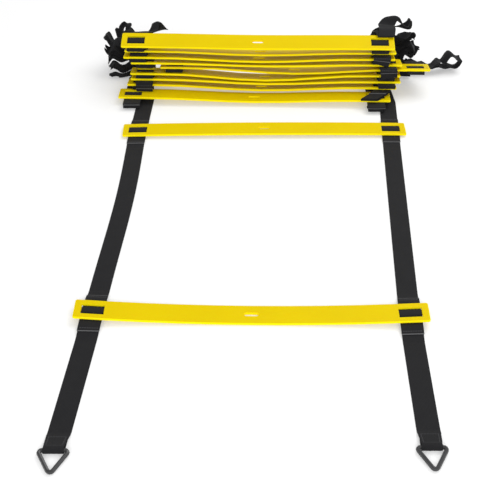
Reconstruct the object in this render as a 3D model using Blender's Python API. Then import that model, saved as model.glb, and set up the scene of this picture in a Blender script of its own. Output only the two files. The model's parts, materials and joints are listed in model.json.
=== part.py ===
"""Agility ladder: eleven flat rungs on two webbing straps, two rungs laid out and nine stacked in a bundle.

The frame has +X to the right, +Y away from the viewer, along the ladder, and +Z up. The origin is on the
floor, under the middle of the whole part. Lengths are in metres.
"""

import math

import bmesh
import bpy
from mathutils import Matrix, Vector
from mathutils.bvhtree import BVHTree

for old in list(bpy.data.objects):
    bpy.data.objects.remove(old, do_unlink=True)

# Clearances: between two pieces, and between two layers of one strap
GAP = 0.0003
FOLD_GAP = 0.0005

# The ladder as a whole
RUNG_COUNT = 11
BAY = 0.4075
SKEW = 0.0218
STRAP_SPACING = 0.3695

# Rungs: flat plastic strips, which reach past the middle of each strap
RUNG_END = 0.02175
RUNG_LENGTH = STRAP_SPACING + RUNG_END * 2
RUNG_WIDTH = 0.032
RUNG_THICK = 0.0032
RUNG_CORNER = 0.0025
RUNG_CHAMFER = 0.0008
WINDOW_LENGTH = 0.027
WINDOW_WIDTH = 0.017
BAR_WIDTH = 0.006
BAR_THICK = 0.0017
GRIP_SLOT_LENGTH = 0.018
GRIP_SLOT_WIDTH = 0.006
OVERRUN = 0.002

# Webbing
STRAP_WIDTH = 0.025
WEB = 0.0009
KEEPER_LENGTH = 0.063
TAIL_LENGTH = 0.2055
TAIL_FOLD = 0.020
PINCHED_WIDTH = 0.0216

# Folds: distance of a strap's fold line from the middle of its rung
FOLD_OUT = 0.045

# Rings of round wire
WIRE_RADIUS = 0.0024
RING_BASE = 0.033
RING_HEIGHT = 0.031
RING_CORNER = 0.003

# How the two laid out rungs are bent and turned
END_RUNG_RISE = 0.0076
SECOND_RUNG_RISE = -0.002
END_RUNG_YAW = math.radians(-0.85)
SECOND_RUNG_YAW = math.radians(0.5)

# The bundle: its bottom rung and the leaning stack of the other rungs
BOTTOM_RUNG_FRONT = 0.0748
BOTTOM_RUNG_LIFT = 0.009
BOTTOM_RUNG_TILT = math.radians(-5)
STACK_FRONT = 0.1022
STACK_LIFT = 0.0158
STACK_TILT = math.radians(-12)
TOP_RUNG_TILT = math.radians(14)
TOP_RUNG_EASE = 0.0005
BUNDLE_YAW = math.radians(-1.1)
PRESSED_END = 0.054

# Side shift and set back of each bundle rung as shares of the rung's width, sag as a share of its thickness,
# and turn as a share of the bundle's
STACK_PLACE_SHARES = {
    3: (-0.45, 0.0, 1.3, 1.5),
    4: (-0.09, 0.0, 1.8, 1.9),
    5: (0.10, 0.06, 1.5, 1.6),
    6: (0.08, 0.13, 2.6, 1.1),
    7: (1.50, 0.28, 2.2, 1.2),
    8: (0.13, 0.11, 0.9, 1.0),
    9: (-0.22, 0.13, 1.5, 1.0),
    10: (-0.17, 0.27, 1.3, 1.1),
    11: (-0.29, 0.0, 0.5, 1.1),
}

# How far each strap curves sideways between the laid out rungs, with the curve's peak set back by a power
BULGE = 0.004
BULGE_SHARES = {-1: 1, 1: 0}
BULGE_EASE = 0.8

# How much longer each tail is than the plain one, and how far its ring lies aside, as shares of strap width
TAIL_EXTRA_SHARES = {-1: 0.12, 1: -0.04}
TAIL_SPREAD_SHARES = {-1: -0.672, 1: -0.104}

# The route of a strap: its steps, where it leaves a rung's edge, and how gently it bends
SUBDIVIDE = 0.004
EDGE_OUT = 0.003
RUN_RADIUS = 0.012
FLOOR_LAYER = 0.00135

# The loops behind the stack: spacing of a loop's layers, where its level part and its lean begin, its bends,
# and what share of a sinking loop stays level
LOOP_LAYER = 0.0015
LOOP_LEAD = 0.012
LOOP_START = 0.0272
LOOP_BEND = 0.005
LOOP_LEVEL_SHARE = 0.395
LOOP_STEP_SHARE = 4.15
SIDE_STEP_SHARE = 0.35
PUFF_NOSE_SHARE = 0.36
PUFF_LENGTH_SHARE = 2.2

# Which way each loop leans from straight back, in degrees, to the right where positive
LOOP_ANGLES = {
    "left": {3: -42, 4: -10, 5: -28, 6: -26, 7: -24, 8: -22, 9: -42, 10: -12},
    "right": {3: 96, 4: 40, 5: 66, 6: 22, 7: 26, 8: 54, 9: 50, 10: 46},
}

# The loops with a form of their own: the shift of the root to the right as a share of the bay, and the height
# of the open end and how far it sinks as shares of the strap's width. A loop of two layers is named apart
PLAIN_LOOP_SHARES = (0.0, 0.0, 0.0)
LOOP_FORM_SHARES = {
    ("left", 3): (-0.0061, 0.0, 0.0),
    ("left", 10): (0.0, 0.3, 0.0),
    ("right", 3): (0.0736, 0.1, 0.0),
    ("right", 5): (0.0307, 0.8, 0.45),
    ("right", 8): (0.0061, 0.0, 0.0),
    ("right", 10): (0.0, 0.3, 0.0),
}
TWO_LAYER_LOOPS = (("right", 5),)

# Loops that hang in front of the stack: how far out and down, as shares of the rung's width, and their lean
HANGING_LOOP_SHARES = {
    ("left", 5): (0.17, 0.34, 0),
    ("right", 8): (0.26, 0.36, 8),
    ("right", 10): (0.26, 0.31, -16),
}

# A fold that comes further out in front than the others, as a share of the rung's width
FORWARD_FOLD_SHARES = {("right", 5): 0.3}

# The loop that lies over the bottom rung and looks out over its front edge
APRON_LOOPS = (("right", 4),)
APRON_DRIFT = -0.022
APRON_OUT = 0.004
APRON_NOSE = 0.0019

# The far tails: where the left one's ring lies, its shoulder, the loops' top, and how far each drifts aside
FAR_RING_BACK = 0.047
TAIL_SHOULDER = 0.012
LOOPS_TOP = 0.0668
FAR_DRIFT_SHARES = {"left": 2.3, "right": 0.5}

# The right far tail is first folded over its rung, and its ring then hangs behind the loops
FOLDED_BACK = 0.0085
FOLDED_HEIGHT = 0.0055
FOLDED_FRONT = 0.008
HANG_Y = 0.240
HANG_RISE = 0.0115

# Derived sizes
LAYER = WEB + GAP
SELF_LAYER = WEB + FOLD_GAP
KEEPER_LEVEL = -GAP - WEB / 2
STRAP_LEVEL = KEEPER_LEVEL - LAYER
RETURN_LEVEL = STRAP_LEVEL - SELF_LAYER
PITCH = RUNG_THICK + GAP - (RETURN_LEVEL - LAYER - WEB / 2)
LAID_UNDERSIDE = WEB / 2 - STRAP_LEVEL
SIDES = {"left": -1, "right": 1}
UP = Vector((0, 0, 1))
ACROSS = Vector((1, 0, 0))


def material(name, colour, roughness):
    """A plain plastic-like finish."""
    made = bpy.data.materials.new(name)
    made.use_nodes = True
    shader = made.node_tree.nodes["Principled BSDF"]
    shader.inputs["Base Color"].default_value = (*colour, 1)
    shader.inputs["Roughness"].default_value = roughness
    return made


YELLOW_PLASTIC = material("yellow_plastic", (0.88, 0.67, 0.01), 0.35)
BLACK_WEBBING = material("black_webbing", (0.02, 0.02, 0.022), 0.85)
BLACK_RING = material("black_ring", (0.015, 0.015, 0.016), 0.4)

# Everything hangs from this empty, which is moved at the end to put the origin on the floor under the middle
ladder = bpy.data.objects.new("ladder", None)
bpy.context.scene.collection.objects.link(ladder)
hinge_points = {}


def hinge(name, at, parent):
    """An empty on a joint's axis, which carries the pieces that turn about it."""
    empty = bpy.data.objects.new(name, None)
    bpy.context.scene.collection.objects.link(empty)
    empty.parent = parent
    empty.location = at - hinge_points.get(parent.name, Vector())
    hinge_points[name] = Vector(at)
    return empty


def add_node(name, mesh, finish, parent, place=Matrix()):
    """A named piece from a mesh in the ladder's frame, set under its parent."""
    mesh.transform(Matrix.Translation(-hinge_points.get(parent.name, Vector())) @ place)
    mesh.materials.clear()
    mesh.materials.append(finish)
    piece = bpy.data.objects.new(name, mesh)
    bpy.context.scene.collection.objects.link(piece)
    piece.parent = parent
    return piece


def finish_mesh(shape, name):
    bmesh.ops.recalc_face_normals(shape, faces=shape.faces)
    mesh = bpy.data.meshes.new(name)
    shape.to_mesh(mesh)
    shape.free()
    return mesh


def prism(shape, outline, low, high, axis):
    """A closed prism: an outline of two coordinates, extruded along the third from low to high."""
    def point(pair, depth):
        place = list(pair)
        place.insert(axis, depth)
        return Vector(place)

    ends = [[shape.verts.new(point(pair, depth)) for pair in outline] for depth in (low, high)]
    count = len(outline)
    shape.faces.new(ends[0])
    shape.faces.new(ends[1])
    for i in range(count):
        shape.faces.new((ends[0][i], ends[0][(i + 1) % count], ends[1][(i + 1) % count], ends[1][i]))


def rung_cutter():
    """The two strap windows, each over a lowered middle bar, and the slot in the rung's middle."""
    shape = bmesh.new()
    half, bar = WINDOW_WIDTH / 2, BAR_WIDTH / 2
    under, over = -OVERRUN, RUNG_THICK + OVERRUN
    profile = [
        (-half, under), (-bar, under), (-bar, BAR_THICK), (bar, BAR_THICK),
        (bar, under), (half, under), (half, over), (-half, over),
    ]
    for side in SIDES.values():
        middle = side * STRAP_SPACING / 2
        prism(shape, profile, middle - WINDOW_LENGTH / 2, middle + WINDOW_LENGTH / 2, 0)
    radius = GRIP_SLOT_WIDTH / 2
    straight = GRIP_SLOT_LENGTH / 2 - radius
    outline = []
    for end, start in ((1, -90), (-1, 90)):
        for step in range(5):
            angle = math.radians(start + 45 * step)
            outline.append((end * straight + radius * math.cos(angle), radius * math.sin(angle)))
    prism(shape, outline, under, over, 2)
    cutter = bpy.data.objects.new("rung_cutter", finish_mesh(shape, "rung_cutter"))
    bpy.context.scene.collection.objects.link(cutter)
    cutter.hide_render = True
    cutter.display_type = "WIRE"
    return cutter


def flat_rung():
    """One flat rung, its underside at height zero, divided along its length so that it can be bent."""
    shape = bmesh.new()
    bmesh.ops.create_cube(shape, size=1)
    bmesh.ops.scale(shape, vec=(RUNG_LENGTH, RUNG_WIDTH, RUNG_THICK), verts=shape.verts)
    bmesh.ops.translate(shape, vec=(0, 0, RUNG_THICK / 2), verts=shape.verts)
    upright = [e for e in shape.edges if abs((e.verts[0].co - e.verts[1].co).z) > RUNG_THICK / 2]
    bmesh.ops.bevel(shape, geom=upright, offset=RUNG_CORNER, segments=3, profile=0.5, affect="EDGES")
    rims = [e for e in shape.edges if abs((e.verts[0].co - e.verts[1].co).z) < RUNG_CHAMFER / 2]
    bmesh.ops.bevel(shape, geom=rims, offset=RUNG_CHAMFER, segments=1, profile=0.5, affect="EDGES")
    blank = bpy.data.objects.new("rung_blank", finish_mesh(shape, "rung_blank"))
    bpy.context.scene.collection.objects.link(blank)
    cut = blank.modifiers.new("windows", "BOOLEAN")
    cut.operation = "DIFFERENCE"
    cut.object = rung_cutter()
    graph = bpy.context.evaluated_depsgraph_get()
    shape = bmesh.new()
    shape.from_mesh(blank.evaluated_get(graph).to_mesh())
    bpy.data.objects.remove(blank, do_unlink=True)
    bends = 10
    for step in range(1, bends):
        at = RUNG_LENGTH * (step / bends - 0.5)
        everything = shape.verts[:] + shape.edges[:] + shape.faces[:]
        bmesh.ops.bisect_plane(shape, geom=everything, plane_co=(at, 0, 0), plane_no=(1, 0, 0))
    return finish_mesh(shape, "flat_rung")


def bent_rung(name, height_at):
    """A copy of the flat rung, lifted by a height that depends on the place along it."""
    mesh = flat_rung_mesh.copy()
    mesh.name = name
    for vertex in mesh.vertices:
        vertex.co.z += height_at(vertex.co.x)
    return mesh


def warp(rise):
    """The gentle bend of a laid out rung: its ends stand this much above its middle."""
    return lambda x: rise * (2 * x / RUNG_LENGTH) ** 2


def sag(drop):
    """The sag of a stacked rung between its pressed ends."""
    free = RUNG_LENGTH / 2 - PRESSED_END

    def height(x):
        return -drop * (1 + math.cos(math.pi * x / free)) / 2 if abs(x) < free else 0

    return height


class Corner:
    """One corner of a strap's route: its place, bend radius, width direction and half width."""

    def __init__(self, at, radius=0.0, across=ACROSS, half=STRAP_WIDTH / 2):
        self.at, self.radius, self.across, self.half = Vector(at), radius, Vector(across), half


def station(at, travelled, across, half):
    return {"at": at, "s": travelled, "across": across, "half": half}


def rounded(corners, step=math.radians(32)):
    """Points along a route with its corners rounded to arcs."""
    points = [(corners[0].at, corners[0].across, corners[0].half)]
    for before, here, after in zip(corners, corners[1:], corners[2:]):
        come, go = (here.at - before.at).normalized(), (after.at - here.at).normalized()
        turn = come.angle(go)
        if turn < math.radians(0.5) or here.radius == 0:
            points.append((here.at, here.across, here.half))
            continue
        reach = here.radius * math.tan(turn / 2)
        centre = here.at + (go - come).normalized() * here.radius / math.cos(turn / 2)
        arm, axis = here.at - come * reach - centre, come.cross(go)
        parts = max(1, math.ceil(turn / step))
        for i in range(parts + 1):
            at = centre + Matrix.Rotation(turn * i / parts, 3, axis) @ arm
            if (at - points[-1][0]).length > GAP / 10:
                points.append((at, here.across, here.half))
    points.append((corners[-1].at, corners[-1].across, corners[-1].half))
    route, travelled = [], 0.0
    for i, (at, across, half) in enumerate(points):
        travelled += (at - points[i - 1][0]).length if i else 0
        route.append(station(at, travelled, across, half))
    return route


def frames(route):
    """Adds to each station its direction and its upper side."""
    for i, here in enumerate(route):
        before, after = route[max(i - 1, 0)]["at"], route[min(i + 1, len(route) - 1)]["at"]
        if 0 < i < len(route) - 1:
            way = (here["at"] - before).normalized() + (after - here["at"]).normalized()
        else:
            way = after - before
        here["way"], here["side"] = way.normalized(), here["across"].normalized()
        here["top"] = here["side"].cross(here["way"]).normalized()
    return route


def ribbon(name, route, lift=None):
    """A strip of webbing along a route, as one closed mesh."""
    shape = bmesh.new()
    rings = []
    for here in route:
        side, top = here["side"] * here["half"], here["top"] * (WEB / 2)
        corners = [here["at"] + side + top, here["at"] - side + top]
        corners += [here["at"] - side - top, here["at"] + side - top]
        if lift:
            corners = [at + UP * lift(at) for at in corners]
        rings.append([shape.verts.new(at) for at in corners])
    for first, second in zip(rings, rings[1:]):
        for k in range(4):
            shape.faces.new((first[k], second[k], second[(k + 1) % 4], first[(k + 1) % 4]))
    shape.faces.new(rings[0])
    shape.faces.new(rings[-1])
    return finish_mesh(shape, name)


def at_length(route, travelled):
    """The station at a distance along a route, between two of its points."""
    for first, second in zip(route, route[1:]):
        if travelled <= second["s"]:
            break
    span = second["s"] - first["s"]
    share = (travelled - first["s"]) / span if span else 0
    made = {key: first[key].lerp(second[key], share) for key in ("at", "way", "side", "top")}
    made["s"] = travelled
    made["half"] = first["half"] + (second["half"] - first["half"]) * share
    return made


# The keeper's hump over the bar: shares of the window's half width and of the rise from strap to bar
HUMP_SHARES = ((0.94, 0.0), (0.87, 0.1), (0.54, 0.86), (0.46, 0.97), (0.37, 1.0))
BAR_RISE = BAR_THICK + GAP + WEB / 2 - KEEPER_LEVEL


def keeper(name, route, middle):
    """The short webbing that follows the strap and humps through the rung's window, over its bar."""
    flat = HUMP_SHARES[0][0] * WINDOW_WIDTH / 2
    reach = KEEPER_LENGTH / 2
    offsets = [(-reach, 0.0)]
    offsets += [(s["s"] - middle, 0.0) for s in route if -reach < s["s"] - middle < -flat]
    offsets += [(-share * WINDOW_WIDTH / 2, rise) for share, rise in HUMP_SHARES]
    offsets += [(share * WINDOW_WIDTH / 2, rise) for share, rise in reversed(HUMP_SHARES)]
    offsets += [(s["s"] - middle, 0.0) for s in route if flat < s["s"] - middle < reach]
    offsets += [(reach, 0.0)]
    made = []
    for along, rise in offsets:
        here = at_length(route, middle + along)
        here["at"] = here["at"] + here["top"] * (LAYER + rise * BAR_RISE)
        here["across"] = here["side"]
        made.append(here)
    return frames(made)


def ring_mesh(name, outward):
    """A triangle of round wire with rounded corners, its straight side through the origin along X."""
    sharp = [(-RING_BASE / 2, 0), (RING_BASE / 2, 0), (0, RING_HEIGHT)]
    points = []
    for i, here in enumerate(sharp):
        here = Vector(here)
        come = (here - Vector(sharp[i - 1])).normalized()
        go = (Vector(sharp[(i + 1) % 3]) - here).normalized()
        turn = come.angle(go)
        start = here - come * RING_CORNER * math.tan(turn / 2)
        inward = Vector((-come.y, come.x))
        centre = start + inward * RING_CORNER
        parts = 4
        for k in range(parts + 1):
            points.append(centre + Matrix.Rotation(turn * k / parts, 2) @ (start - centre))
    curve = bpy.data.curves.new(name, "CURVE")
    curve.dimensions = "3D"
    spline = curve.splines.new("POLY")
    spline.points.add(len(points) - 1)
    for point, at in zip(spline.points, points):
        point.co = (at.x, at.y * outward, 0, 1)
    spline.use_cyclic_u = True
    curve.bevel_depth = WIRE_RADIUS
    curve.bevel_resolution = 2
    holder = bpy.data.objects.new(name, curve)
    bpy.context.scene.collection.objects.link(holder)
    graph = bpy.context.evaluated_depsgraph_get()
    mesh = bpy.data.meshes.new_from_object(holder.evaluated_get(graph))
    bpy.data.objects.remove(holder, do_unlink=True)
    shape = bmesh.new()
    shape.from_mesh(mesh)
    mesh = finish_mesh(shape, name)
    mesh.shade_smooth()
    mesh.set_sharp_from_angle(angle=math.radians(60))
    return mesh


# The webbing round a ring's bar: the strap's middle runs at this radius, and the bar hangs this high
WRAP_RADIUS = WIRE_RADIUS + GAP + WEB / 2
BAR_HEIGHT = WRAP_RADIUS + WEB / 2
RING_DROOP = math.asin((BAR_HEIGHT - WIRE_RADIUS) / (RING_HEIGHT - RING_CORNER))


def ring_end(x, y, outward, lead):
    """Corners of a strap's end that folds round the ring's bar at y and back underneath."""
    pinched = PINCHED_WIDTH / 2
    rise = BAR_HEIGHT + WRAP_RADIUS
    second = WEB / 2 + SELF_LAYER

    def at(back, height):
        return (x(y - outward * back), y - outward * back, height)

    return [
        Corner(at(TAIL_FOLD + lead, WEB / 2), WRAP_RADIUS * 3),
        Corner(at(TAIL_FOLD + SELF_LAYER, second), WRAP_RADIUS * 3),
        Corner(at(WIRE_RADIUS, rise), WRAP_RADIUS * 2, half=pinched),
        Corner(at(-WRAP_RADIUS, rise), WRAP_RADIUS, half=pinched),
        Corner(at(-WRAP_RADIUS, WEB / 2), WRAP_RADIUS, half=pinched),
        Corner(at(TAIL_FOLD, WEB / 2), half=pinched),
    ]


flat_rung_mesh = flat_rung()


def frame_of(origin, yaw, tilt):
    """A rung's own frame: X along it, Y across it, Z up from its underside."""
    return Matrix.Translation(origin) @ Matrix.Rotation(yaw, 4, "Z") @ Matrix.Rotation(tilt, 4, "X")


def laid_frame(x, y, rise, yaw):
    strap_share = ((STRAP_SPACING + STRAP_WIDTH) / RUNG_LENGTH) ** 2
    middle = 0 if rise > 0 else LAID_UNDERSIDE - rise * strap_share
    return frame_of((x, y, middle), yaw, 0)


def bundle_frame(number):
    """Where each rung of the bundle lies."""
    shift, back, _, turn = STACK_PLACE_SHARES[number]
    half = RUNG_WIDTH / 2
    own_turn = Matrix.Rotation(BUNDLE_YAW * (turn - 1), 4, "Z")
    if number == 3:
        base = frame_of((0, BOTTOM_RUNG_FRONT, BOTTOM_RUNG_LIFT), BUNDLE_YAW, BOTTOM_RUNG_TILT)
        return base @ Matrix.Translation((shift * RUNG_WIDTH, half, 0)) @ own_turn
    base = frame_of((0, STACK_FRONT, STACK_LIFT), BUNDLE_YAW, STACK_TILT)
    level = PITCH * (number - 4)
    if number < RUNG_COUNT:
        return base @ Matrix.Translation((shift * RUNG_WIDTH, half + back * RUNG_WIDTH, level)) @ own_turn
    front = base @ Vector((shift * RUNG_WIDTH, back * RUNG_WIDTH, level + TOP_RUNG_EASE))
    return frame_of(front, BUNDLE_YAW * turn, TOP_RUNG_TILT) @ Matrix.Translation((0, half, 0))


rung_frames = {
    1: laid_frame(-SKEW, -BAY, END_RUNG_RISE, END_RUNG_YAW),
    2: laid_frame(0, 0, SECOND_RUNG_RISE, SECOND_RUNG_YAW),
}
rung_frames.update({number: bundle_frame(number) for number in STACK_PLACE_SHARES})
rung_shapes = {1: warp(END_RUNG_RISE), 2: warp(SECOND_RUNG_RISE)}
rung_shapes.update({n: sag(shares[2] * RUNG_THICK) for n, shares in STACK_PLACE_SHARES.items()})


def lift_under(number):
    """How far a laid out rung's bend lifts the webbing under it, fading out towards the fold lines."""
    frame, shape = rung_frames[number], rung_shapes[number]
    back_to_rung = frame.inverted()

    def lift(at):
        near = back_to_rung @ at
        full = frame.translation.z + shape(near.x) - LAID_UNDERSIDE
        far = (abs(near.y) - RUNG_WIDTH / 2) / (FOLD_OUT - GAP - RUNG_WIDTH / 2)
        share = min(max(far, 0), 1)
        return full * (1 - share * share * (3 - 2 * share))

    return lift


# Places of the fold lines
second_fold_y = -FOLD_OUT
end_fold_y = -BAY + FOLD_OUT
mid_fold_y = (second_fold_y + end_fold_y) / 2
tail_fold_y = -BAY - FOLD_OUT

bay_rear_hinge = hinge("bay_rear_hinge", Vector((0, second_fold_y, WEB)), ladder)
bay_front_hinge = hinge("bay_front_hinge", Vector((0, mid_fold_y, 0)), bay_rear_hinge)
end_rung_hinge = hinge("end_rung_hinge", Vector((0, end_fold_y, WEB)), bay_front_hinge)

for number in range(1, RUNG_COUNT + 1):
    carrier = end_rung_hinge if number == 1 else ladder
    name = f"rung_{number:02d}"
    mesh = bent_rung(name, rung_shapes[number])
    add_node(name, mesh, YELLOW_PLASTIC, carrier, rung_frames[number])


def laid_x(side):
    """The strap's side place along the laid out part, by its place along the ladder."""
    second = rung_frames[2] @ Vector((side * STRAP_SPACING / 2, 0, 0))
    end = rung_frames[1] @ Vector((side * STRAP_SPACING / 2, 0, 0))

    def x(y):
        share = y / -BAY
        if share <= 1:
            bulge = BULGE * BULGE_SHARES[side] * math.sin(math.pi * max(share, 0) ** BULGE_EASE) ** 2
            return second.x + (end.x - second.x) * share + bulge
        return end.x + TAIL_SPREAD_SHARES[side] * STRAP_WIDTH * (share - 1) * BAY / TAIL_LENGTH

    return x


def crossing(number, side):
    """Where a laid out rung crosses its strap, along the ladder."""
    return (rung_frames[number] @ Vector((side * STRAP_SPACING / 2, 0, 0))).y


def straight(x, start, end, step=SUBDIVIDE * 3, height=WEB / 2):
    """Corners of a level run from one place along the ladder to another, in short steps."""
    steps = max(1, round(abs(end - start) / step))
    return [Corner((x(y), y, height)) for y in (start + (end - start) * i / steps for i in range(steps + 1))]


def bundle_point(number, side, along, level, aside=0.0):
    """A point by a bundle rung's own frame, on its strap's line."""
    return rung_frames[number] @ Vector((side * STRAP_SPACING / 2 + aside, along, level))


bundle_across = Matrix.Rotation(BUNDLE_YAW, 3, "Z") @ ACROSS

def run_behind(number, side, level, aside=0.0):
    return bundle_point(number, side, RUNG_WIDTH / 2 + EDGE_OUT, level, aside)


def loop_level(number):
    """Level of a loop's lowest layer: as its rung's run, and clear of the loop below."""
    if number == 3:
        return WEB / 2 + FLOOR_LAYER * 2
    return max(run_behind(number, 0, STRAP_LEVEL).z, loop_level(number - 1) + SELF_LAYER * LOOP_STEP_SHARE)


def loop_corners(number, side_name, reach):
    """The strap from one bundle rung to the next: back in a folded loop, and forward between them."""
    side = SIDES[side_name]
    out, back = run_behind(number, side, STRAP_LEVEL), run_behind(number + 1, side, RETURN_LEVEL)
    if number + 1 == RUNG_COUNT:
        back = run_behind(number, side, PITCH + RETURN_LEVEL)
    level = loop_level(number)
    lead_y = max(out.y, back.y) + LOOP_LEAD
    if number == 3:
        out.z = level
        lead_y = run_behind(5, side, RETURN_LEVEL).y + LOOP_LEAD
    angle = math.radians(LOOP_ANGLES[side_name][number])
    shift_share, puff_share, sink_share = LOOP_FORM_SHARES.get((side_name, number), PLAIN_LOOP_SHARES)
    shift, puff, sink = shift_share * BAY, puff_share * STRAP_WIDTH, sink_share * STRAP_WIDTH
    lean = Vector((math.sin(angle), math.cos(angle), 0))
    across = Vector((lean.y, -lean.x, 0))
    start = lead_y - LOOP_LEAD + LOOP_START + abs(lean.x) * STRAP_WIDTH / 2
    start += abs(out.x - back.x) * SIDE_STEP_SHARE
    base = Vector(((out.x + back.x) / 2 + shift, start, level))
    pitch = SELF_LAYER if number < 5 else LOOP_LAYER
    last = 1 if (side_name, number) in TWO_LAYER_LOOPS else 3

    level_reach = reach * LOOP_LEVEL_SHARE

    def corner(along, layer, radius=pitch / 2, rise=0.0):
        fall = sink * max(0, along - level_reach) / (reach - level_reach)
        return Corner(base + lean * along + UP * (pitch * layer + rise - fall), radius, across)

    made = [Corner(out, LOOP_BEND, bundle_across)]
    made += [Corner((out.x, lead_y, level), LOOP_BEND, bundle_across), corner(0, 0, LOOP_BEND)]
    if sink:
        made += [corner(level_reach, 0, RUN_RADIUS)]
    if last > 1:
        made += [corner(reach, 0), corner(reach, 1), corner(0, 1), corner(0, 2)]
    if puff:
        nose = (pitch + puff) * PUFF_NOSE_SHARE
        made += [corner(reach, last - 1, nose), corner(reach, last, nose, puff)]
        made += [corner(reach - PUFF_LENGTH_SHARE * (pitch + puff), last, RUN_RADIUS)]
    else:
        made += [corner(reach, last - 1), corner(reach, last)]
    if sink:
        made += [corner(level_reach, last, RUN_RADIUS)]
    made += [corner(0, last, LOOP_BEND)]
    made += [Corner((back.x, lead_y, level + pitch * last), LOOP_BEND, bundle_across)]
    return made + [Corner(back, LOOP_BEND, bundle_across)]


def hanging_loop(number, side_name):
    """A loop of strap that comes out between two rungs, hangs down in front, and goes back up."""
    side = SIDES[side_name]
    out, drop, degrees = HANGING_LOOP_SHARES[(side_name, number)]
    lean = math.radians(degrees)
    turn = rung_frames[number].to_3x3()
    way = turn @ Vector((math.sin(lean), 0, -math.cos(lean)))
    across = turn @ Vector((math.cos(lean), 0, math.sin(lean)))
    near, far = -RUNG_WIDTH * (0.5 + out), -RUNG_WIDTH * (0.5 + out) - LOOP_LAYER * 2
    fall = way * drop * RUNG_WIDTH
    return [
        Corner(bundle_point(number, side, near, RETURN_LEVEL), SELF_LAYER / 2, bundle_across),
        Corner(bundle_point(number, side, near, RETURN_LEVEL) + fall, LOOP_LAYER, across),
        Corner(bundle_point(number, side, far, RETURN_LEVEL) + fall, LOOP_LAYER, across),
        Corner(bundle_point(number, side, far, STRAP_LEVEL), LOOP_LAYER, bundle_across),
    ]


def apron_loop(number, side_name):
    """A loop of strap that lies on the rung below, looks out over its front edge, and comes back."""
    side = SIDES[side_name]
    lower = rung_frames[number - 1]
    near = lower.inverted() @ bundle_point(number, side, 0, 0)
    edge = -RUNG_WIDTH / 2 - APRON_OUT
    top = RUNG_THICK + GAP + WEB / 2
    lip = -RUNG_WIDTH / 2 - LOOP_LAYER

    def on_rung(y, z, radius):
        return Corner(lower @ Vector((near.x + APRON_DRIFT, y, z)), radius, bundle_across)

    return [
        Corner(bundle_point(number, side, lip, RETURN_LEVEL), SELF_LAYER, bundle_across),
        on_rung(edge, top, APRON_NOSE),
        on_rung(edge, top + APRON_NOSE * 2, APRON_NOSE),
        Corner(bundle_point(number, side, lip, STRAP_LEVEL), SELF_LAYER, bundle_across),
    ]


def front_fold(number, side_name):
    """The strap's fold in front of a stacked rung, from the run below it to the run under it."""
    side = SIDES[side_name]
    if (side_name, number) in HANGING_LOOP_SHARES:
        return hanging_loop(number, side_name)
    if (side_name, number) in APRON_LOOPS:
        return apron_loop(number, side_name)
    fold = SELF_LAYER / 2
    front = -RUNG_WIDTH / 2 - fold - RUNG_WIDTH * FORWARD_FOLD_SHARES.get((side_name, number), 0)
    upper = bundle_point(number, side, front, STRAP_LEVEL)
    lower = bundle_point(number, side, front, RETURN_LEVEL)
    if number == RUNG_COUNT:
        near = rung_frames[number - 1].inverted() @ upper
        lower = rung_frames[number - 1] @ Vector((near.x, near.y, PITCH + RETURN_LEVEL))
    return [Corner(lower, fold, bundle_across), Corner(upper, fold, bundle_across)]


def rung_middle(number, side):
    return Corner(bundle_point(number, side, 0, STRAP_LEVEL), 0, bundle_across)


def length_of(corners):
    return rounded(corners)[-1]["s"]


def least_reach(number, side_name):
    """The shortest loop whose open end still lies beyond its level part."""
    _, puff_share, sink_share = LOOP_FORM_SHARES.get((side_name, number), PLAIN_LOOP_SHARES)
    if not puff_share:
        return LOOP_BEND
    open_end = PUFF_LENGTH_SHARE * (LOOP_LAYER + puff_share * STRAP_WIDTH)
    return (LOOP_BEND + open_end) / (1 - LOOP_LEVEL_SHARE * bool(sink_share))


def bay_corners(number, side_name):
    """All corners between the middles of two bundle rungs, with the bay's true length of strap."""
    side = SIDES[side_name]
    low, high = least_reach(number, side_name), BAY

    def whole(reach):
        made = [rung_middle(number, side)] + loop_corners(number, side_name, reach)
        return made + front_fold(number + 1, side_name) + [rung_middle(number + 1, side)]

    for _ in range(40):
        reach = (low + high) / 2
        if length_of(whole(reach)) > BAY:
            high = reach
        else:
            low = reach
    return whole(reach)[1:-1]


def first_bay_corners(side_name):
    """From the second rung along the floor, back in a long fold, and up round the bottom rung."""
    side = SIDES[side_name]
    second = rung_frames[2] @ Vector((side * STRAP_SPACING / 2, 0, 0))
    goal = bundle_point(3, side, 0, STRAP_LEVEL)
    fold = FLOOR_LAYER / 2
    nose = bundle_point(3, side, -KEEPER_LENGTH / 2 - WEB, STRAP_LEVEL)
    bend = (nose.z - WEB / 2 - FLOOR_LAYER) / 2
    x = laid_x(side)
    under = nose.y + RUNG_WIDTH
    turn_x = (x(under) + goal.x) / 2
    low, high = nose.y, BAY

    def whole(end):
        made = [Corner((second.x, second.y, WEB / 2)), Corner((x(FOLD_OUT), FOLD_OUT, WEB / 2))]
        made += [Corner((x(under), under, WEB / 2), RUN_RADIUS)]
        made += [Corner((turn_x, end, WEB / 2), fold), Corner((turn_x, end, WEB / 2 + FLOOR_LAYER), fold)]
        made += [Corner((goal.x, under, WEB / 2 + FLOOR_LAYER), RUN_RADIUS)]
        made += [Corner((nose.x, nose.y, WEB / 2 + FLOOR_LAYER), bend)]
        made += [Corner((nose.x, nose.y, nose.z), bend, bundle_across)]
        return made + [Corner(goal, 0, bundle_across)]

    for _ in range(40):
        end = (low + high) / 2
        if length_of(whole(end)) > BAY:
            high = end
        else:
            low = end
    return whole(end)[:-1]


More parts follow.
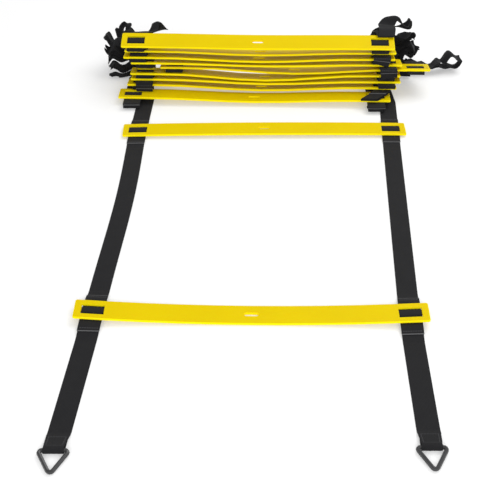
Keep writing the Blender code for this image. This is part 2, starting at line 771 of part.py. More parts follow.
def left_far_tail():
    """From the top rung over the back of the loops and down to the far ring, which lies on the floor."""
    out = run_behind(RUNG_COUNT, -1, STRAP_LEVEL)
    top = LOOPS_TOP
    drift = FAR_DRIFT_SHARES["left"] * STRAP_WIDTH

    def whole(shoulder):
        ring_y = shoulder + FAR_RING_BACK
        made = [rung_middle(RUNG_COUNT, -1), Corner(out, RUN_RADIUS, bundle_across)]
        made += [Corner((out.x + drift, shoulder, top), TAIL_SHOULDER)]
        made += [Corner((out.x + drift, shoulder + TAIL_SHOULDER, WEB / 2), TAIL_SHOULDER / 2)]
        return made + ring_end(lambda y: out.x + drift, ring_y, 1, SELF_LAYER * 3)[1:], ring_y

    low, high = out.y + RUNG_WIDTH, out.y + TAIL_LENGTH
    for _ in range(40):
        shoulder = (low + high) / 2
        corners, ring_y = whole(shoulder)
        if length_of(corners[:-2]) > TAIL_LENGTH:
            high = shoulder
        else:
            low = shoulder
    return corners, Matrix.Translation((out.x + drift, ring_y, BAR_HEIGHT))


def right_far_tail():
    """From the top rung forward over its corner, back over the loops, and down to the hanging ring."""
    half = RUNG_WIDTH / 2
    drift = FAR_DRIFT_SHARES["right"] * STRAP_WIDTH
    lift = STRAP_LEVEL + FOLDED_HEIGHT * 1.4
    made = [rung_middle(RUNG_COUNT, 1)]
    for along, level, radius, aside in (
        (half + FOLDED_BACK, STRAP_LEVEL, FOLDED_HEIGHT * 0.6, 0),
        (half + FOLDED_BACK, lift, FOLDED_HEIGHT * 0.6, drift / 3),
        (FOLDED_FRONT, lift, LOOP_LAYER / 2, drift * 0.8),
        (FOLDED_FRONT, lift + LOOP_LAYER, LOOP_LAYER / 2, drift * 0.8),
        (half + FOLDED_BACK, lift + LOOP_LAYER * 1.5, RUN_RADIUS, drift),
    ):
        made.append(Corner(bundle_point(RUNG_COUNT, 1, along, level, aside), radius, bundle_across))
    top = LOOPS_TOP + HANG_RISE
    end_x = made[-1].at.x

    def whole(drop):
        place = Matrix.Translation((end_x, HANG_Y, top - drop)) @ Matrix.Rotation(-math.pi / 2, 4, "X")
        hung = [Corner((end_x, HANG_Y, top), TAIL_SHOULDER)]
        for end in ring_end(lambda y: 0, 0, 1, SELF_LAYER * 3):
            hung.append(Corner(place @ end.at, end.radius, ACROSS, end.half))
        return made + hung, place @ Matrix.Translation((0, 0, BAR_HEIGHT))

    low, high = TAIL_FOLD + SELF_LAYER * 3 + TAIL_SHOULDER, TAIL_LENGTH
    for _ in range(40):
        drop = (low + high) / 2
        corners, place = whole(drop)
        if length_of(corners[:-2]) > TAIL_LENGTH:
            high = drop
        else:
            low = drop
    return corners, place


lift_end, lift_second = lift_under(1), lift_under(2)


def flat_lift_only(at):
    return lift_end(at) if at.y < mid_fold_y else lift_second(at) if at.y < FOLD_OUT else 0


def add_keeper(number, side_name, route, middle, carrier, lift=None):
    name = f"keeper_{number:02d}_{side_name}"
    add_node(name, ribbon(name, keeper(name, route, middle), lift), BLACK_WEBBING, carrier)


def add_strap(name, corners, carrier, lift=None):
    route = frames(rounded(corners))
    add_node(name, ribbon(name, route, lift), BLACK_WEBBING, carrier)
    return route


def least_self_gap(route):
    """The smallest gap between two layers of one strap, from points spread over its middle surface."""
    edges = [here["at"] + here["side"] * here["half"] * end for here in route for end in (-1, 1)]
    faces = [(2 * i, 2 * i + 1, 2 * i + 3, 2 * i + 2) for i in range(len(route) - 1)]
    surface = BVHTree.FromPolygons(edges, faces)
    least = BAY
    for first, second in zip(route, route[1:]):
        steps = max(1, min(100, math.ceil((second["s"] - first["s"]) / (SUBDIVIDE / 2))))
        for i in range(steps * 5):
            here = at_length(route, first["s"] + (second["s"] - first["s"]) * (i // 5 + 0.5) / steps)
            point = here["at"] + here["side"] * here["half"] * (i % 5 - 2) / 2
            for _, _, face, distance in surface.find_nearest_range(point, LOOP_LAYER):
                apart = max(route[face]["s"] - here["s"], here["s"] - route[face + 1]["s"])
                if apart > SELF_LAYER * 4:
                    least = min(least, distance - WEB)
    return least


def add_ring(name, place, outward, carrier, droop=RING_DROOP):
    tip = hinge(f"{name}_hinge", place.translation, carrier)
    drooping = place @ Matrix.Rotation(-droop * outward, 4, "X")
    add_node(name, ring_mesh(name, outward), BLACK_RING, tip, drooping)


for side_name, side in SIDES.items():
    x = laid_x(side)
    cut = GAP / 2
    run = straight(x, tail_fold_y + cut, end_fold_y - cut, SUBDIVIDE)
    route = add_strap(f"strap_{side_name}_under_end_rung", run, end_rung_hinge, lift_end)
    add_keeper(1, side_name, route, crossing(1, side) - tail_fold_y - cut, end_rung_hinge, lift_end)
    for name, carrier, start, end in (
        ("bay_front", bay_front_hinge, end_fold_y + cut, mid_fold_y - cut),
        ("bay_rear", bay_rear_hinge, mid_fold_y + cut, second_fold_y - cut),
    ):
        run = straight(x, start, end)
        add_strap(f"strap_{side_name}_{name}", run, carrier)

    ring_y = -BAY - TAIL_LENGTH - TAIL_EXTRA_SHARES[side] * STRAP_WIDTH
    tail = hinge(f"tail_{side_name}_hinge", Vector((0, tail_fold_y, WEB)), end_rung_hinge)
    start = Corner((x(tail_fold_y), tail_fold_y - cut, WEB / 2))
    corners = [start] + ring_end(x, ring_y, -1, SELF_LAYER * 4)
    add_strap(f"strap_{side_name}_tail", corners, tail)
    add_ring(f"ring_{side_name}_front", Matrix.Translation((x(ring_y), ring_y, BAR_HEIGHT)), -1, tail)

    lead = straight(x, second_fold_y + cut, FOLD_OUT, SUBDIVIDE)[:-1]
    middles = {2: crossing(2, side) - second_fold_y - cut}
    corners = lead + first_bay_corners(side_name)[1:]
    middles[3] = middles[2] + BAY
    for number in range(3, RUNG_COUNT):
        corners += [rung_middle(number, side)] + bay_corners(number, side_name)
        middles[number + 1] = middles[number] + BAY
    far_corners, far_ring = left_far_tail() if side < 0 else right_far_tail()
    corners += far_corners
    route = add_strap(f"strap_{side_name}_bundle", corners, ladder, flat_lift_only)
    for number, middle in middles.items():
        lift = lift_second if number == 2 else None
        add_keeper(number, side_name, route, middle, ladder, lift)
    add_ring(f"ring_{side_name}_back", far_ring, 1, ladder, RING_DROOP if side < 0 else 0)
    gap = least_self_gap(route) * 1000
    print(f"{side_name} strap through the bundle: {route[-1]['s']:.4f} m, least gap to itself {gap:.2f} mm")


def centre_on_floor():
    """Moves the whole ladder so that the origin lies on the floor under its middle."""
    bpy.context.view_layer.update()
    points = [
        piece.matrix_world @ vertex.co
        for piece in bpy.data.objects if piece.type == "MESH" and not piece.hide_render
        for vertex in piece.data.vertices
    ]
    low = Vector([min(p[i] for p in points) for i in range(3)])
    high = Vector([max(p[i] for p in points) for i in range(3)])
    middle = (low + high) / 2
    ladder.location = (-middle.x, -middle.y, -low.z)
    bpy.context.view_layer.update()


centre_on_floor()
for name in hinge_points:
    place = bpy.data.objects[name].matrix_world.translation
    print(f"{name}: {place.x:.6f} {place.y:.6f} {place.z:.6f}")
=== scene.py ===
import json
import math
from itertools import permutations

import bmesh
import bpy
import numpy as np
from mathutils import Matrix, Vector


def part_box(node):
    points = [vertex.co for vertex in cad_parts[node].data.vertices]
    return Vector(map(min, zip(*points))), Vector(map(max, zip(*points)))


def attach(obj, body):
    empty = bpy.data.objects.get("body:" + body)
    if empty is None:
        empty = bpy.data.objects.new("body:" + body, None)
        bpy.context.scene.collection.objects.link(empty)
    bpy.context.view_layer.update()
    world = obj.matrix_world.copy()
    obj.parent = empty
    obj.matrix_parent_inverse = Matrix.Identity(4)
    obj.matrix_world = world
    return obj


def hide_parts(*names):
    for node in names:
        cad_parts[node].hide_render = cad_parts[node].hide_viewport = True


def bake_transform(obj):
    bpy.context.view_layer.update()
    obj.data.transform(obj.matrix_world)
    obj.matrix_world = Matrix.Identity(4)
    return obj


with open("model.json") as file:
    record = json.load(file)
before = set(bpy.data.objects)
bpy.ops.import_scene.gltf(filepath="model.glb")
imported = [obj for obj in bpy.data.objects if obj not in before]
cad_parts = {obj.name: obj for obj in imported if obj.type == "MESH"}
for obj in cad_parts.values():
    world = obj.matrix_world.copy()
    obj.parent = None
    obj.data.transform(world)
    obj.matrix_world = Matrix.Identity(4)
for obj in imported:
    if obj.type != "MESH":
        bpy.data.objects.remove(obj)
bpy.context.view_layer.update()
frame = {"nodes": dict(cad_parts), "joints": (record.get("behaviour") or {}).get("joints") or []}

# The camera stands in front of the ladder's near end and looks down on it. Its place is worked out on the
# floor from the end rung, which lies nearest to it, so that the view stays when the bundle's box grows.
end_low, end_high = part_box("rung_01")
end_middle = (end_low + end_high) / 2
rung_from_view = Vector((0.0108, -0.1268, 0))
under_view = Vector((end_middle.x, end_middle.y, 0)) - rung_from_view
camera_back, camera_height, camera_pitch = 1.073, 0.835, 37.9

camera_data = bpy.data.cameras.new("camera")
camera = bpy.data.objects.new("camera", camera_data)
bpy.context.scene.collection.objects.link(camera)
camera.location = under_view + Vector((0, -camera_back, camera_height))
camera.rotation_euler = (math.radians(90 - camera_pitch), 0, 0)
camera_data.sensor_fit = "HORIZONTAL"
camera_data.sensor_width = 36
camera_data.lens = 80.26
bpy.context.scene.camera = camera

# The floor is one wide pale sheet, lit to an even white with the soft grey shadows of what lies on it. Light
# comes from all round, from a soft box behind on the right, and from a low one in front that lights the lips.
scene = bpy.context.scene
scene.view_settings.view_transform = "Standard"


class Sum:
    """A shader socket that sums can be written with."""

    def __init__(self, tree, socket):
        self.tree, self.socket = tree, socket

    def math(self, operation, *others):
        inputs = dict(enumerate((self, *others)))
        return node(self.tree, "ShaderNodeMath", {"operation": operation}, inputs)

    def __add__(self, other):
        return self.math("ADD", other)

    def __sub__(self, other):
        return self.math("SUBTRACT", other)

    def __rsub__(self, other):
        return node(self.tree, "ShaderNodeMath", {"operation": "SUBTRACT"}, {0: other, 1: self})

    def __mul__(self, other):
        return self.math("MULTIPLY", other)

    def __truediv__(self, other):
        return self.math("DIVIDE", other)

    def __abs__(self):
        return self.math("ABSOLUTE")

    def __lt__(self, other):
        return self.math("LESS_THAN", other)

    def __gt__(self, other):
        return self.math("GREATER_THAN", other)

    def __mod__(self, other):
        return self.math("FLOORED_MODULO", other)

    __radd__ = __add__


def node(tree, kind, settings=(), inputs=(), output=0):
    """A shader node: its settings are made first, then its sockets get values or links."""
    made = tree.nodes.new(kind)
    for name, value in dict(settings).items():
        if name == "stops":
            while len(made.color_ramp.elements) < len(value):
                made.color_ramp.elements.new(0.5)
            for element, (place, colour) in zip(made.color_ramp.elements, value):
                element.position, element.color = place, (*colour, 1)
        else:
            setattr(made, name, value)
    for name, value in dict(inputs).items():
        if isinstance(value, Sum):
            tree.links.new(value.socket, made.inputs[name])
        else:
            made.inputs[name].default_value = value
    return Sum(tree, made.outputs[output])


def finish(name, **constants):
    """A new material with its constants set, its tree, and its shader."""
    look = bpy.data.materials.new(name)
    look.use_nodes = True
    shader = look.node_tree.nodes["Principled BSDF"]
    for socket, value in constants.items():
        shader.inputs[socket.replace("_", " ")].default_value = value
    return look, look.node_tree, shader


def feed(tree, shader, **made):
    """Links what varies over the surface to the shader."""
    for socket, value in made.items():
        tree.links.new(value.socket, shader.inputs[socket.replace("_", " ")])


for old in bpy.context.selected_objects:
    old.select_set(False)
floor_size, floor_drop = 40, 0.0002
bpy.ops.mesh.primitive_plane_add(size=floor_size, location=(0, 0, -floor_drop))
floor = bpy.context.object
floor.name = "floor"
pale_floor, tree, shader = finish("pale_floor", Roughness=0.95)
place = node(tree, "ShaderNodeTexCoord", output="Object")
mottle = node(tree, "ShaderNodeTexNoise", inputs={"Vector": place, "Scale": 3.0, "Detail": 2.0})
paper = node(tree, "ShaderNodeMix", {"data_type": "RGBA"},
             {"Factor": mottle, 6: (0.655, 0.655, 0.655, 1), 7: (0.665, 0.665, 0.665, 1)}, output=2)
feed(tree, shader, Base_Color=paper)
shader.inputs["Specular IOR Level"].default_value = 0.0
shader.inputs["Emission Color"].default_value = (1, 1, 1, 1)
shader.inputs["Emission Strength"].default_value = 0.30
floor.data.materials.append(pale_floor)

world = bpy.data.worlds.new("studio")
scene.world = world
world.use_nodes = True
tree = world.node_tree
seen = node(tree, "ShaderNodeLightPath")
backdrop = tree.nodes["Background"]
backdrop.inputs["Color"].default_value = (1, 1, 1, 1)
light_round = 0.64
tree.links.new((seen * (1 - light_round) + light_round).socket, backdrop.inputs["Strength"])

for name, offset, size, power in (
    ("back_right_soft_box", (0.75, 0.95, 1.5), (1.6, 1.2), 18),
    ("front_soft_box", (0.0, -1.5, 0.75), (1.8, 0.6), 18),
):
    lamp_data = bpy.data.lights.new(name, "AREA")
    lamp_data.shape = "RECTANGLE"
    lamp_data.size, lamp_data.size_y = size
    lamp_data.energy = power
    lamp = bpy.data.objects.new(name, lamp_data)
    scene.collection.objects.link(lamp)
    lamp.location = under_view + Vector(offset)
    lamp.rotation_euler = (under_view - lamp.location).to_track_quat("-Z", "Y").to_euler()

# The rungs are flat strips moulded from yellow plastic, with a strap window near each end and a grip slot in
# the middle. The faces have a fine moulded grain and faint scuffs from handling, and the lips carry a painted
# highlight.
moulded_yellow, tree, shader = finish("yellow_moulded_plastic")
shader.inputs["Specular IOR Level"].default_value = 0.05
shader.inputs["Subsurface Weight"].default_value = 0.25
shader.inputs["Subsurface Radius"].default_value = (1.0, 0.7, 0.05)
shader.inputs["Subsurface Scale"].default_value = 0.004
shader.inputs["Specular Tint"].default_value = (1, 0.85, 0.15, 1)
place = node(tree, "ShaderNodeTexCoord", output="Object")
cloud = node(tree, "ShaderNodeTexNoise", inputs={"Vector": place, "Scale": 14.0, "Detail": 3.0})
stretched = node(tree, "ShaderNodeMapping", {"vector_type": "POINT"},
                 {"Vector": place, "Scale": (9.0, 130.0, 130.0)})
scratch = node(tree, "ShaderNodeTexNoise", inputs={"Vector": stretched, "Scale": 6.0, "Detail": 4.0})
scuff_stops = ((0.62, (0, 0, 0)), (0.78, (1, 1, 1)))
scuffs = node(tree, "ShaderNodeValToRGB", {"stops": scuff_stops}, {"Fac": scratch})
plain = node(tree, "ShaderNodeMix", {"data_type": "RGBA"},
             {"Factor": cloud, 6: (0.66, 0.49, 0.0004, 1), 7: (0.73, 0.55, 0.0008, 1)}, output=2)
# Painted highlight: every face that does not look straight up or down, the lips and side walls, is coloured a
# brighter yellow.
facing = node(tree, "ShaderNodeTexCoord", output="Normal")
flat_from = 0.85
painted_lip_highlight = abs(node(tree, "ShaderNodeSeparateXYZ", inputs={0: facing}, output=2)) < flat_from
worn = node(tree, "ShaderNodeMix", {"data_type": "RGBA"},
            {"Factor": scuffs * 0.10, 6: plain, 7: (0.90, 0.76, 0.08, 1)}, output=2)
with_painted_lip_highlight = node(tree, "ShaderNodeMix", {"data_type": "RGBA"},
              {"Factor": painted_lip_highlight * 0.8, 6: worn, 7: (0.98, 0.79, 0.006, 1)}, output=2)
grain = node(tree, "ShaderNodeTexNoise", inputs={"Vector": place, "Scale": 1900.0, "Detail": 2.0})
relief = node(tree, "ShaderNodeBump", inputs={"Height": grain, "Strength": 0.12, "Distance": 0.0001})
feed(tree, shader, Base_Color=with_painted_lip_highlight, Roughness=cloud * 0.12 + 0.36 + scuffs * 0.12, Normal=relief)
for name, rung in frame["nodes"].items():
    if name.startswith("rung_"):
        rung.data.materials.clear()
        rung.data.materials.append(moulded_yellow)

# The two straps are black polypropylene webbing, 25 mm wide and ribbed across by its weave. Each runs in one
# piece from its front ring, under the rungs and through the bundle to its back ring. Its ends are folded round
# the rings and box stitched.
web_half, web_thick = 0.0125, 0.0009
step_along, step_round, crease = 0.0028, math.radians(12), math.radians(50)
selvedge_share = 0.045
column_shares = (-1, -0.985, -0.95, -0.85, -0.6, -0.3, 0, 0.3, 0.6, 0.85, 0.95, 0.985, 1)


def sections_of(name):
    """The four corners of each section of a CAD strip, from one end to the other, in matching order."""
    shape = bmesh.new()
    shape.from_mesh(frame["nodes"][name].data)
    bmesh.ops.remove_doubles(shape, verts=shape.verts, dist=2e-6)
    shape.verts.ensure_lookup_table()
    beside = [{edge.other_vert(v).index for edge in v.link_edges} for v in shape.verts]
    points = [v.co.copy() for v in shape.verts]

    def layers(start):
        reached, found = set(start), [sorted(start)]
        while True:
            ahead = {other for v in found[-1] for other in beside[v]} - reached
            if not ahead:
                return found
            reached |= ahead
            found.append(sorted(ahead))

    def ways_round(layer):
        """The orders of four corners that go once round a section, thin sides second and fourth."""
        found = []
        for a, b, c, d in permutations(layer):
            one, two, three, four = points[a], points[b], points[c], points[d]
            off_thick = abs((one - four).length - web_thick) + abs((two - three).length - web_thick)
            off_wide = abs((one - two).length - (four - three).length)
            alike = off_thick < web_thick * 0.15 and off_wide < web_thick * 0.3
            if alike and (one - two).length > web_half:
                if (one - four).dot(two - three) > 0:
                    found.append([a, b, c, d])
        return found

    farthest = layers([layers([0])[-1][0]])[-1][0]
    ends = []
    for face in shape.verts[farthest].link_faces:
        for other in (near for side in face.edges for near in side.link_faces):
            start = {v.index for v in face.verts} | {v.index for v in other.verts}
            if len(start) == 4 and ways_round(start):
                ends.append((sum(len(layer) != 4 for layer in layers(start)), sorted(start)))
    shape.free()
    found = layers(min(ends)[1])
    ordered = [ways_round(found[0])[0]]
    for layer in found[1:]:
        ways = ways_round(layer) if len(layer) == 4 else []
        if ways:
            last = ordered[-1]
            joined = [way for way in ways if all(b in beside[a] for a, b in zip(last, way))]
            ordered.append(min(joined or ways, key=lambda way: sum(
                (points[a] - points[b]).length for a, b in zip(last, way))))
    return [[points[v] for v in layer] for layer in ordered]


def stations_of(name, toward):
    """Each section's middle, half width and upward direction, starting at the end nearest to a point."""
    found = []
    for a, b, c, d in sections_of(name):
        side = (a + d - b - c) / 4
        found.append([(a + b + c + d) / 4, side, (a + b - c - d).normalized()])
    if (found[0][0] - toward).length > (found[-1][0] - toward).length:
        found.reverse()
    way = found[1][0] - found[0][0]
    if found[0][1].cross(way).dot(found[0][2]) < 0:
        for here in found:
            here[1] = -here[1]
    return found


def smooth_route(stations):
    """The same route in fine steps, rounded between the stations without leaving straight runs."""
    middles = [np.array(here[0]) for here in stations]
    sides = [np.array(here[1]) for here in stations]
    ups = [np.array(here[2]) for here in stations]
    lengths = [np.linalg.norm(b - a) for a, b in zip(middles, middles[1:])]
    ways = [(b - a) / length for a, b, length in zip(middles, middles[1:], lengths)]
    between = [(a + b) / max(np.linalg.norm(a + b), 1e-9) for a, b in zip(ways, ways[1:])]
    bends = [ways[0]] + between + [ways[-1]]
    route, travelled = [], 0.0
    for i, length in enumerate(lengths):
        before = lengths[i - 1] if i else length
        after = lengths[i + 1] if i + 1 < len(lengths) else length
        start_pull, end_pull = bends[i] * min(length, before), bends[i + 1] * min(length, after)
        turn = math.acos(max(-1, min(1, float(bends[i] @ bends[i + 1]))))
        steps = max(1, math.ceil(length / step_along), math.ceil(turn / step_round))
        for k in range(steps):
            t = k / steps
            place = (2 * t**3 - 3 * t**2 + 1) * middles[i] + (3 * t**2 - 2 * t**3) * middles[i + 1]
            place = place + (t**3 - 2 * t**2 + t) * start_pull + (t**3 - t**2) * end_pull
            up = (1 - t) * ups[i] + t * ups[i + 1]
            side = (1 - t) * sides[i] + t * sides[i + 1]
            route.append([place, side, up / np.linalg.norm(up), travelled + length * t])
        travelled += length
    route.append([middles[-1], sides[-1], ups[-1], travelled])
    return route


def woven_strip(name, route, spread=1.0, warp=None, total=None):
    """A strip of webbing along a route, with rounded selvedges and its UVs in metres.

    The UV map weave holds the place across and along, and ends the distance from the start and to the end.
    """
    rows = []
    for place, side, up, travelled in route:
        row = []
        for face in (1, -1):
            for share in column_shares[:: face]:
                if abs(share) == 1 and face == -1:
                    continue
                rounded = max(0.0, abs(share) - (1 - selvedge_share)) / selvedge_share
                full = math.sqrt(max(0.0, 1 - rounded ** 2))
                row.append(place + side * share * spread + up * (face * web_thick / 2 * full))
        rows.append(row)
    points = np.array(rows)
    rows_count, around = points.shape[:2]
    flat = points.reshape(-1, 3)
    if warp:
        flat = warp(flat)
    faces = []
    for i in range(rows_count - 1):
        for k in range(around):
            after = (k + 1) % around
            here, ahead = i * around, (i + 1) * around
            faces.append((here + k, here + after, ahead + after, ahead + k))
    faces.append(tuple(range(around))[::-1])
    faces.append(tuple((rows_count - 1) * around + k for k in range(around)))
    mesh = bpy.data.meshes.new(name)
    mesh.from_pydata([tuple(p) for p in flat], [], faces)
    mesh.update()
    weave, ends = mesh.uv_layers.new(name="weave"), mesh.uv_layers.new(name="ends")
    shares = list(column_shares) + [s for s in column_shares[::-1] if abs(s) != 1]
    last = total if total is not None else route[-1][3]
    for loop in mesh.loops:
        row, column = divmod(loop.vertex_index, around)
        weave.data[loop.index].uv = (shares[column] * web_half * spread, route[row][3])
        ends.data[loop.index].uv = (route[row][3], last - route[row][3])
    shape = bmesh.new()
    shape.from_mesh(mesh)
    bmesh.ops.recalc_face_normals(shape, faces=shape.faces)
    shape.to_mesh(mesh)
    shape.free()
    mesh.shade_smooth()
    mesh.set_sharp_from_angle(angle=crease)
    piece = bpy.data.objects.new(name, mesh)
    scene.collection.objects.link(piece)
    return piece


def webbing_look(name, stitched):
    """Black ribbed webbing. Stitched says where its thread shows: none, box near the far end, or keeper."""
    rib_width, rib_length = 0.00135, 0.0016
    stitch_step, stitch_share, thread_half = 0.0028, 0.72, 0.0004
    keeper_row, keeper_aside, cut_edge = 0.0042, 0.0112, 0.0005
    box_rows, box_middles = (0.0035, 0.0165, 0.0345, 0.0475), (0.010, 0.041)
    box_aside, box_half = 0.0094, 0.0066
    look, tree, shader = finish(name)
    shader.inputs["Specular IOR Level"].default_value = 0.12
    shader.inputs["Sheen Weight"].default_value = 0.04
    shader.inputs["Sheen Roughness"].default_value = 0.5
    weave = node(tree, "ShaderNodeUVMap", {"uv_map": "weave"})
    across = node(tree, "ShaderNodeSeparateXYZ", inputs={0: weave}, output=0)
    along = node(tree, "ShaderNodeSeparateXYZ", inputs={0: weave}, output=1)
    column = across / rib_width
    odd = (column % 2.0) > 1.0
    rib = (along / rib_length + odd * 0.5) % 1.0
    bead = 1 - abs(rib * 2 - 1) * abs(rib * 2 - 1)
    yarn = column % 1.0
    cord = 1 - abs(yarn * 2 - 1) * abs(yarn * 2 - 1)
    height = bead * cord
    place = node(tree, "ShaderNodeTexCoord", output="Object")
    patchy_dust_and_sheen = node(tree, "ShaderNodeTexNoise", inputs={"Vector": place, "Scale": 60.0, "Detail": 5.0})
    fuzz = node(tree, "ShaderNodeTexNoise", inputs={"Vector": place, "Scale": 2400.0, "Detail": 1.0})
    # Painted shade: the weave's valleys are coloured darker and its crests lighter. Slow noise adds lighter
    # patches and fine noise lighter flecks, partly dust and partly painted sheen.
    shade = height * 0.55 + patchy_dust_and_sheen * 0.3 + fuzz * 0.15
    cloth = node(tree, "ShaderNodeMix", {"data_type": "RGBA"},
                 {"Factor": shade, 6: (0.0035, 0.0035, 0.0040, 1), 7: (0.021, 0.021, 0.023, 1)}, output=2)
    if stitched != "none":
        ends = node(tree, "ShaderNodeUVMap", {"uv_map": "ends"})
        start = node(tree, "ShaderNodeSeparateXYZ", inputs={0: ends}, output=0)
        far_end = node(tree, "ShaderNodeSeparateXYZ", inputs={0: ends}, output=1)
        aside = abs(across)
        dash_across = (across / stitch_step) % 1.0 < stitch_share
        dash_along = (along / stitch_step) % 1.0 < stitch_share
        if stitched == "keeper":
            near = start.math("MINIMUM", far_end)
            rows = (abs(near - keeper_row) < thread_half) * dash_across * (aside < keeper_aside)
            burnt = near < cut_edge
        else:
            rows = sum(abs(far_end - row) < thread_half for row in box_rows)
            rows = rows * dash_across * (aside < box_aside + thread_half / 2)
            runs = (abs(aside - box_aside) < thread_half) * dash_along
            inside = sum(abs(far_end - middle) < box_half for middle in box_middles)
            rows = rows.math("MAXIMUM", runs * inside)
            burnt = (far_end < cut_edge) * 0.25
        cloth = node(tree, "ShaderNodeMix", {"data_type": "RGBA"},
                     {"Factor": rows, 6: cloth, 7: (0.05, 0.05, 0.054, 1)}, output=2)
        cloth = node(tree, "ShaderNodeMix", {"data_type": "RGBA"},
                     {"Factor": burnt, 6: cloth, 7: (0.13, 0.13, 0.135, 1)}, output=2)
        height = height + rows * 0.9
    relief = node(tree, "ShaderNodeBump",
                  inputs={"Height": height + fuzz * 0.2, "Strength": 0.6, "Distance": 0.00022})
    feed(tree, shader, Base_Color=cloth, Roughness=shade * 0.15 + 0.72, Normal=relief)
    return look


plain_webbing = webbing_look("black_ribbed_webbing", "none")
stitched_webbing = webbing_look("black_webbing_box_stitched", "box")

# Where the straps are bunched behind and beside the stack, their loops were pushed together by hand: they
# are pulled in towards the rungs, turned aside level by level, and stand in soft waves. All the webbing at
# one place moves alike, which keeps nearly all layers in order. What holds a ring stays where it is.
stack = [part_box(f"rung_{number:02d}") for number in range(3, 12)]
stack_front, stack_back = min(low.y for low, high in stack), max(high.y for low, high in stack)
stack_left, stack_right = min(low.x for low, high in stack), max(high.x for low, high in stack)
ring_places = [sum(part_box(f"ring_{side}_back"), Vector()) / 2 for side in ("left", "right")]
roots = [sum(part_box(f"keeper_06_{side}"), Vector()) / 2 for side in ("left", "right")]
pull, wave_length, wave_height, lean_height = 0.026, 0.027, 0.0058, 0.0024
wave_slant, wave_start, wave_lift = 46, 1.2, 0.35
low_turns, high_turns = (math.radians(72), math.radians(30)), (math.radians(8), math.radians(52))
widest = math.radians(112)
# how much of the pull the far right loop is spared, and how much the webbing in front leans
spared, front_lean = 0.8, 0.9
# in metres, where each change begins and where it is complete
behind_grows, beside_grows, ring_frees = (0.001, 0.028), (0.004, 0.030), (0.022, 0.062)
turn_grows, turn_levels = (0.006, 0.060), (0.030, 0.075)
pull_grows, far_loop, wave_levels = (0.012, 0.095), (0.20, 0.24), (0.001, 0.024)
front_grows, front_ends, front_levels = (0.001, 0.013), (0.040, 0.060), (0.004, 0.013)
# two waves for each of x, y and z: how fast each turns along x, y and z, and where it starts
leans = (
    ((95, 71, 118), 0.4, (-63, 128, -47), 2.1),
    ((-81, 58, 102), 1.7, (119, 44, 66), 4.0),
    ((107, -76, 35), 3.1, (52, 139, 41), 0.9),
)


def ease(value, low, high):
    """Grows gently from 0 at low to 1 at high."""
    share = np.clip((value - low) / (high - low), 0, 1)
    return share * share * (3 - 2 * share)


def crumple(points):
    """Points of the straps as they lie after the bunch is pushed together."""
    x, y, z = points.T
    beside = np.maximum(ease(stack_left - x, *beside_grows), ease(x - stack_right, *beside_grows))
    free = np.maximum(ease(y - stack_back, *behind_grows), beside)
    for place in ring_places:
        away = np.linalg.norm(points - np.array(place), axis=1)
        free = free * ease(away, *ring_frees)
    left = x < (roots[0].x + roots[1].x) / 2
    outward = np.where(left, -1, 1)
    root_x = np.where(left, roots[0].x, roots[1].x)
    aside, behind = (x - root_x) * outward, y - stack_back
    reach = np.hypot(aside, behind) + 1e-6
    lean = np.arctan2(aside, behind)
    level = ease(z, *turn_levels)
    turned = np.where(left, *low_turns) * (1 - level) + np.where(left, *high_turns) * level
    turned *= ease(reach, *turn_grows) * free * np.clip(1 - lean / widest, 0, 1)
    pulled = pull * ease(reach, *pull_grows) * free * (1 - spared * ease(x, *far_loop))
    moved = points.copy()
    moved[:, 0] = root_x + outward * np.sin(lean + turned) * (reach - pulled)
    moved[:, 1] = stack_back + np.cos(lean + turned) * (reach - pulled)
    turning = 2 * math.pi * (reach - pulled) / wave_length
    crest = np.sin(turning + wave_slant * aside + wave_start) + wave_lift
    leaning = np.stack([
        np.sin(points @ np.array(big) + big_start) + 0.6 * np.sin(points @ np.array(small) + small_start)
        for big, big_start, small, small_start in leans
    ], axis=1)
    in_front = stack_front - y
    hanging = front_lean * ease(in_front, *front_grows) * (1 - ease(in_front, *front_ends))
    hanging = hanging * ease(z, *front_levels)
    moved[:, :2] += leaning[:, :2] * (lean_height * (free + hanging))[:, None]
    moved[:, 2] += (crest * wave_height + leaning[:, 2] * lean_height) * free * ease(z, *wave_levels)
    return moved
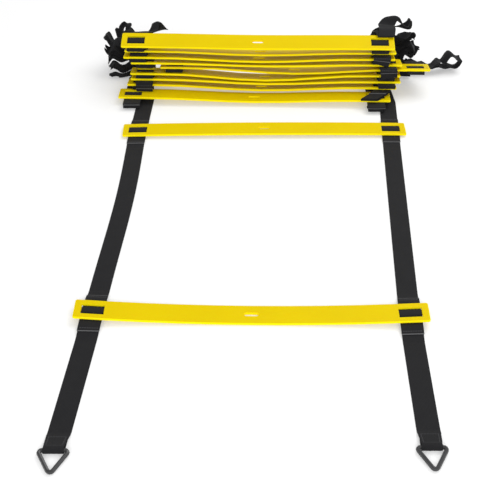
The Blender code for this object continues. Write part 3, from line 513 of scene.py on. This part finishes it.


# Each strap is shown in pieces that meet under a rung or midway between two folds.
fold_half, past_ring_fold = 0.006, 60
hinges = {joint["name"]: Vector(joint["pos_m"]) for joint in frame["joints"]}
rear_y, middle_y, end_y = (hinges[f"{fold}_fold"].y for fold in ("bay_rear", "bay_middle", "end_rung"))
rung_1_y = sum(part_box("rung_01"), Vector()).y / 2
rung_2_y = sum(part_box("rung_02"), Vector()).y / 2
cuts = [rung_1_y, (end_y + middle_y) / 2, (middle_y + rear_y) / 2, rung_2_y]
replaced = {"tail": ("tail",), "end": ("under_end_rung",), "middle": ("bay_front", "bay_rear"),
            "rear": (), "bundle": ("bundle",)}
for side_name in ("left", "right"):
    joined = []
    toward = sum(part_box(f"ring_{side_name}_front"), Vector()) / 2
    for part in ("tail", "under_end_rung", "bay_front", "bay_rear", "bundle"):
        stations = stations_of(f"strap_{side_name}_{part}", toward)
        if joined:
            if (joined[-1][1] - stations[0][1]).length > (joined[-1][1] + stations[0][1]).length:
                for here in stations:
                    here[1] = -here[1]
            if joined[-1][2].dot(stations[0][2]) < 0:
                for here in stations:
                    here[2] = -here[2]
        joined += stations
        toward = joined[-1][0]
    route = smooth_route(joined)
    total = route[-1][3]
    tail_y = hinges[f"tail_{side_name}_fold"].y
    marks = [0]
    for cut in cuts:
        first = max(past_ring_fold, marks[-1]) + 1
        marks.append(next(i for i in range(first, len(route)) if route[i][0][1] > cut))
    marks.append(len(route) - 1)
    bodies = (
        ("tail", f"tail_{side_name}", "end_rung", tail_y),
        ("end", "end_rung", "bay_front", end_y),
        ("middle", "bay_front", "bay_rear", middle_y),
        ("rear", "bay_rear", "bundle", rear_y),
        ("bundle", "bundle", None, None),
    )
    for (part, near_body, far_body, fold_y), first, last in zip(bodies, marks, marks[1:]):
        run = route[first:last + 1]
        name = f"webbing_{side_name}_{part}"
        if part == "tail":
            from_ring = [[place, side, up, total - along] for place, side, up, along in run]
            strip = woven_strip(name, from_ring, total=total)
        else:
            strip = woven_strip(name, run, warp=crumple if part == "bundle" else None, total=total)
        strip.data.materials.append(stitched_webbing if part in ("tail", "bundle") else plain_webbing)
        if far_body:
            fold_y - fold_half
            fold_y + fold_half
            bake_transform(strip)
        else:
            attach(strip, near_body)
        for cad in replaced[part]:
            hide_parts(f"strap_{side_name}_{cad}")

# A keeper is a short length of the same webbing that passes over the bar in the window. It is sewn to the
# strap on both sides, which holds the rung in its place. It is a little wider than the strap, and hot-cut.
keeper_spread = 1.035
keeper_webbing = webbing_look("black_webbing_keeper", "keeper")
for number in range(1, 12):
    for side_name in ("left", "right"):
        name = f"keeper_{number:02d}_{side_name}"
        route = smooth_route(stations_of(name, Vector((0, -10, 0))))
        warp = crumple if number > 2 else None
        strip = woven_strip(f"webbing_{name}", route, spread=keeper_spread, warp=warp)
        strip.data.materials.append(keeper_webbing)
        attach(strip, "end_rung" if number == 1 else "bundle")
        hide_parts(name)

# The rings are triangles of black powder-coated wire, held in the straps' folded ends. The coat is slightly
# rough, with a faint orange peel, and is rubbed a little brighter in places.
coated_wire, tree, shader = finish("black_coated_wire")
shader.inputs["Coat Weight"].default_value = 0.25
place = node(tree, "ShaderNodeTexCoord", output="Object")
peel = node(tree, "ShaderNodeTexNoise", inputs={"Vector": place, "Scale": 900.0, "Detail": 2.0})
rub = node(tree, "ShaderNodeTexNoise", inputs={"Vector": place, "Scale": 120.0, "Detail": 3.0})
coat = node(tree, "ShaderNodeMix", {"data_type": "RGBA"},
            {"Factor": rub, 6: (0.010, 0.010, 0.011, 1), 7: (0.030, 0.030, 0.032, 1)}, output=2)
relief = node(tree, "ShaderNodeBump", inputs={"Height": peel, "Strength": 0.2, "Distance": 0.0001})
feed(tree, shader, Base_Color=coat, Roughness=rub * 0.2 + 0.32, Normal=relief)
for name, ring in frame["nodes"].items():
    if name.startswith("ring_"):
        ring.data.materials.clear()
        ring.data.materials.append(coated_wire)
